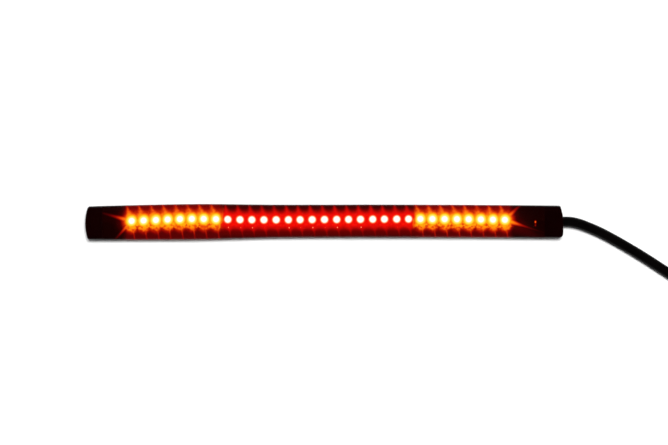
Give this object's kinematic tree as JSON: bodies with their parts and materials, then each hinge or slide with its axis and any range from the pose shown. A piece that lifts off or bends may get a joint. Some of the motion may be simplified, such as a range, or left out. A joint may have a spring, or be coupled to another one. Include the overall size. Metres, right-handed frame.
{
  "type": "flexible light bar",
  "caption": "Slim flexible stick-on vehicle light bar with a smoked lens: a red stop and tail section between amber turn sections, and a round cable from one end.",
  "frame": {"origin": "under the middle of the bar, on the back face of its adhesive tape", "axes": "+X along the bar towards the end that the cable leaves, +Y across the bar, +Z out of the lens, away from the surface that the bar is stuck to"},
  "size_m": [0.308, 0.0538, 0.0163],
  "materials": {
    "smoked_silicone": "soft clear-smoked silicone, glossy",
    "base_rubber": "matt black rubber",
    "end_rubber": "black rubber, satin",
    "tape_foam": "matt closed-cell foam with adhesive",
    "board_mask": "white solder mask on polyimide",
    "amber_package": "white housing with a lit amber window",
    "red_package": "white housing with a lit red window",
    "resistor_body": "black glaze over a ceramic chip",
    "diode_body": "moulded black epoxy",
    "cable_jacket": "black flexible jacket, satin",
    "tie_fabric": "black hook-and-loop strap",
    "wire_black": "insulation, satin",
    "wire_red": "insulation, satin",
    "wire_blue": "insulation, satin",
    "wire_yellow": "insulation, satin",
    "wire_green": "insulation, satin"
  },
  "bodies": {
    "root": {"tinted_lens": "smoked_silicone", "base_strip": "base_rubber", "adhesive_tape": "tape_foam", "left_end_plug": "end_rubber", "right_end_plug": "end_rubber", "flex_board": "board_mask", "led_amber_left_1": "amber_package", "led_amber_left_2": "amber_package", "led_amber_left_3": "amber_package", "led_amber_left_4": "amber_package", "led_amber_left_5": "amber_package", "led_amber_left_6": "amber_package", "led_amber_left_7": "amber_package", "led_amber_left_8": "amber_package", "led_red_1": "red_package", "led_red_2": "red_package", "led_red_3": "red_package", "led_red_4": "red_package", "led_red_5": "red_package", "led_red_6": "red_package", "led_red_7": "red_package", "led_red_8": "red_package", "led_red_9": "red_package", "led_red_10": "red_package", "led_red_11": "red_package", "led_red_12": "red_package", "led_red_13": "red_package", "led_red_14": "red_package", "led_red_15": "red_package", "led_red_16": "red_package", "led_amber_right_1": "amber_package", "led_amber_right_2": "amber_package", "led_amber_right_3": "amber_package", "led_amber_right_4": "amber_package", "led_amber_right_5": "amber_package", "led_amber_right_6": "amber_package", "led_amber_right_7": "amber_package", "led_amber_right_8": "amber_package", "resistor_1": "resistor_body", "resistor_2": "resistor_body", "resistor_3": "resistor_body", "resistor_4": "resistor_body", "resistor_5": "resistor_body", "resistor_6": "resistor_body", "resistor_7": "resistor_body", "resistor_8": "resistor_body", "polarity_diode": "diode_body", "core_black": "wire_black", "core_red": "wire_red", "core_blue": "wire_blue", "core_yellow": "wire_yellow", "core_green": "wire_green", "cable": "cable_jacket", "cable_coil": "cable_jacket", "coil_tie": "tie_fabric", "lead_black": "wire_black", "lead_red": "wire_red", "lead_blue": "wire_blue", "lead_yellow": "wire_yellow", "lead_green": "wire_green"}
  },
  "joints": []
}
